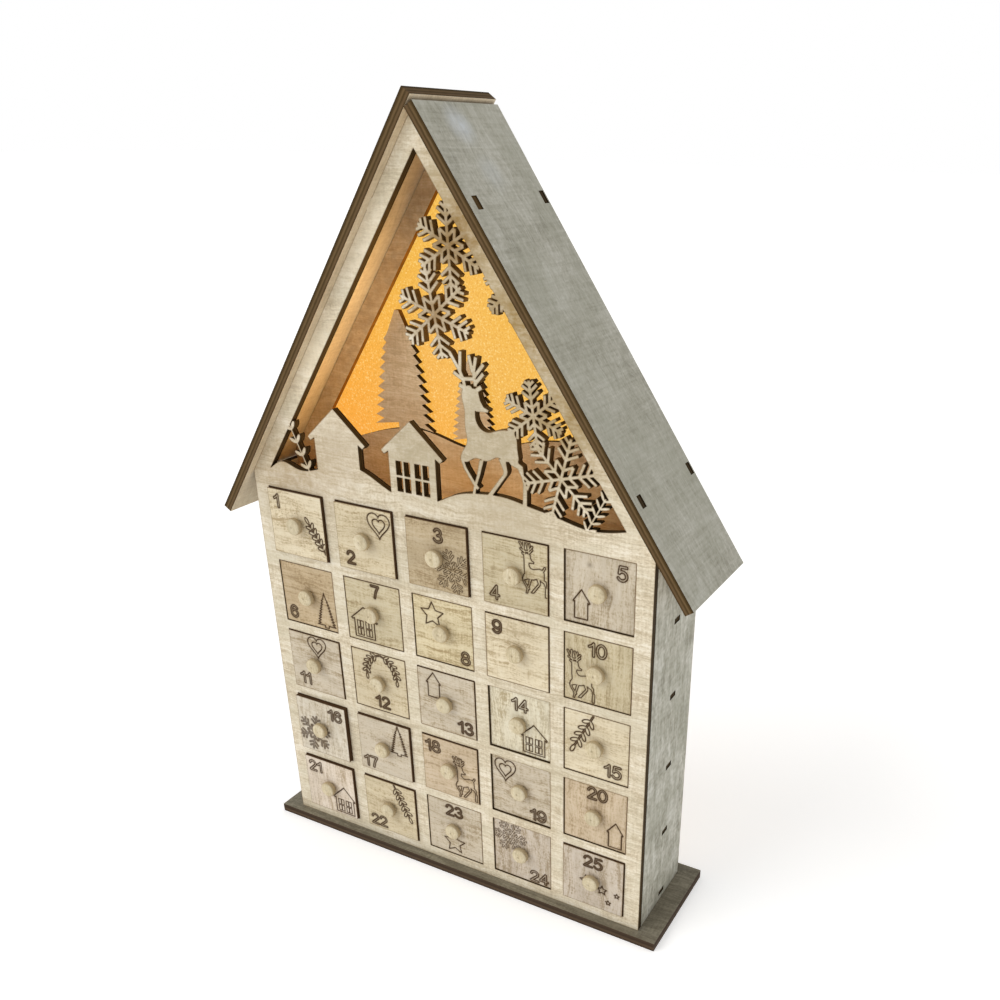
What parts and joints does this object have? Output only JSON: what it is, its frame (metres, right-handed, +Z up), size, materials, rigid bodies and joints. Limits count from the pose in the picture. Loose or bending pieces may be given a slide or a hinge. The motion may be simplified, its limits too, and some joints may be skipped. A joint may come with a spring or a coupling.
{
  "type": "wooden advent calendar",
  "caption": "House-shaped plywood advent calendar with a grid of numbered slide-out drawers under a pitched roof and a lit cut-out winter scene in the gable.",
  "frame": {"origin": "middle of the base board's underside", "axes": "+X to the right as seen from the front, +Y towards the back, +Z up"},
  "size_m": [0.2962, 0.0736, 0.4315],
  "materials": {
    "pale_wash_ply": "whitewashed plywood with burnt edges",
    "drawer_ply": "whitewashed plywood with burnt engraving",
    "grey_wash_ply": "grey-washed plywood",
    "dark_base_ply": "dark grey-brown stained plywood",
    "raw_ply": "bare plywood",
    "diffuser_sheet": "translucent warm sheet, lit from behind",
    "circuit_board": "white solder mask",
    "led_lens": "yellow phosphor",
    "case_plastic": "moulded off-white plastic",
    "switch_plastic": "moulded black plastic",
    "cell_jacket": "plain printed jacket",
    "contact_steel": "nickel plated"
  },
  "bodies": {
    "case": {"base_plate": "dark_base_ply", "wall_left": "grey_wash_ply", "wall_right": "grey_wash_ply", "front_panel": "pale_wash_ply", "back_panel": "raw_ply", "roof_left": "grey_wash_ply", "roof_right": "grey_wash_ply", "floor_shelf": "raw_ply", "shelf_1": "raw_ply", "shelf_2": "raw_ply", "shelf_3": "raw_ply", "shelf_4": "raw_ply", "attic_floor": "raw_ply", "divider_1": "raw_ply", "divider_2": "raw_ply", "divider_3": "raw_ply", "divider_4": "raw_ply", "scene_backdrop": "raw_ply", "light_diffuser": "diffuser_sheet", "led_board": "circuit_board", "led_chips": "led_lens", "battery_case": "case_plastic", "battery_cells": "cell_jacket", "battery_contacts": "contact_steel"},
    "drawer_01": {"drawer_01": "drawer_ply"},
    "drawer_02": {"drawer_02": "drawer_ply"},
    "drawer_03": {"drawer_03": "drawer_ply"},
    "drawer_04": {"drawer_04": "drawer_ply"},
    "drawer_05": {"drawer_05": "drawer_ply"},
    "drawer_06": {"drawer_06": "drawer_ply"},
    "drawer_07": {"drawer_07": "drawer_ply"},
    "drawer_08": {"drawer_08": "drawer_ply"},
    "drawer_09": {"drawer_09": "drawer_ply"},
    "drawer_10": {"drawer_10": "drawer_ply"},
    "drawer_11": {"drawer_11": "drawer_ply"},
    "drawer_12": {"drawer_12": "drawer_ply"},
    "drawer_13": {"drawer_13": "drawer_ply"},
    "drawer_14": {"drawer_14": "drawer_ply"},
    "drawer_15": {"drawer_15": "drawer_ply"},
    "drawer_16": {"drawer_16": "drawer_ply"},
    "drawer_17": {"drawer_17": "drawer_ply"},
    "drawer_18": {"drawer_18": "drawer_ply"},
    "drawer_19": {"drawer_19": "drawer_ply"},
    "drawer_20": {"drawer_20": "drawer_ply"},
    "drawer_21": {"drawer_21": "drawer_ply"},
    "drawer_22": {"drawer_22": "drawer_ply"},
    "drawer_23": {"drawer_23": "drawer_ply"},
    "drawer_24": {"drawer_24": "drawer_ply"},
    "drawer_25": {"drawer_25": "drawer_ply"},
    "battery_lid": {"battery_lid": "case_plastic"},
    "switch_slider": {"switch_slider": "switch_plastic"}
  },
  "joints": [
    {"name": "drawer_01_slide", "type": "slide", "parent": "case", "child": "drawer_01", "axis": [0, -1, 0], "range_m": [-0.003, 0.0442]},
    {"name": "drawer_02_slide", "type": "slide", "parent": "case", "child": "drawer_02", "axis": [0, -1, 0], "range_m": [-0.0028, 0.0444]},
    {"name": "drawer_03_slide", "type": "slide", "parent": "case", "child": "drawer_03", "axis": [0, -1, 0], "range_m": [-0.0028, 0.0444]},
    {"name": "drawer_04_slide", "type": "slide", "parent": "case", "child": "drawer_04", "axis": [0, -1, 0], "range_m": [-0.002, 0.0452]},
    {"name": "drawer_05_slide", "type": "slide", "parent": "case", "child": "drawer_05", "axis": [0, -1, 0], "range_m": [-0.0004, 0.0468]},
    {"name": "drawer_06_slide", "type": "slide", "parent": "case", "child": "drawer_06", "axis": [0, -1, 0], "range_m": [-0.0009, 0.0463]},
    {"name": "drawer_07_slide", "type": "slide", "parent": "case", "child": "drawer_07", "axis": [0, -1, 0], "range_m": [-0.0012, 0.046]},
    {"name": "drawer_08_slide", "type": "slide", "parent": "case", "child": "drawer_08", "axis": [0, -1, 0], "range_m": [-0.0009, 0.0463]},
    {"name": "drawer_09_slide", "type": "slide", "parent": "case", "child": "drawer_09", "axis": [0, -1, 0], "range_m": [-0.0017, 0.0455]},
    {"name": "drawer_10_slide", "type": "slide", "parent": "case", "child": "drawer_10", "axis": [0, -1, 0], "range_m": [-0.0009, 0.0463]},
    {"name": "drawer_11_slide", "type": "slide", "parent": "case", "child": "drawer_11", "axis": [0, -1, 0], "range_m": [-0.0019, 0.0453]},
    {"name": "drawer_12_slide", "type": "slide", "parent": "case", "child": "drawer_12", "axis": [0, -1, 0], "range_m": [-0.0012, 0.046]},
    {"name": "drawer_13_slide", "type": "slide", "parent": "case", "child": "drawer_13", "axis": [0, -1, 0], "range_m": [-0.0017, 0.0455]},
    {"name": "drawer_14_slide", "type": "slide", "parent": "case", "child": "drawer_14", "axis": [0, -1, 0], "range_m": [-0.0002, 0.047]},
    {"name": "drawer_15_slide", "type": "slide", "parent": "case", "child": "drawer_15", "axis": [0, -1, 0], "range_m": [-0.0009, 0.0463]},
    {"name": "drawer_16_slide", "type": "slide", "parent": "case", "child": "drawer_16", "axis": [0, -1, 0], "range_m": [-0.0038, 0.0434]},
    {"name": "drawer_17_slide", "type": "slide", "parent": "case", "child": "drawer_17", "axis": [0, -1, 0], "range_m": [-0.0028, 0.0444]},
    {"name": "drawer_18_slide", "type": "slide", "parent": "case", "child": "drawer_18", "axis": [0, -1, 0], "range_m": [-0.002, 0.0452]},
    {"name": "drawer_19_slide", "type": "slide", "parent": "case", "child": "drawer_19", "axis": [0, -1, 0], "range_m": [-0.0003, 0.0469]},
    {"name": "drawer_20_slide", "type": "slide", "parent": "case", "child": "drawer_20", "axis": [0, -1, 0], "range_m": [-0.0007, 0.0465]},
    {"name": "drawer_21_slide", "type": "slide", "parent": "case", "child": "drawer_21", "axis": [0, -1, 0], "range_m": [-0.003, 0.0442]},
    {"name": "drawer_22_slide", "type": "slide", "parent": "case", "child": "drawer_22", "axis": [0, -1, 0], "range_m": [-0.0024, 0.0448]},
    {"name": "drawer_23_slide", "type": "slide", "parent": "case", "child": "drawer_23", "axis": [0, -1, 0], "range_m": [-0.0009, 0.0463]},
    {"name": "drawer_24_slide", "type": "slide", "parent": "case", "child": "drawer_24", "axis": [0, -1, 0], "range_m": [-0.0006, 0.0466]},
    {"name": "drawer_25_slide", "type": "slide", "parent": "case", "child": "drawer_25", "axis": [0, -1, 0], "range_m": [-0.0022, 0.045]},
    {"name": "battery_lid_slide", "type": "slide", "parent": "case", "child": "battery_lid", "axis": [0, 0, 1], "range_m": [0, 0.034]},
    {"name": "power_switch_slide", "type": "slide", "parent": "case", "child": "switch_slider", "axis": [1, 0, 0], "range_m": [0, 0.004]}
  ]
}
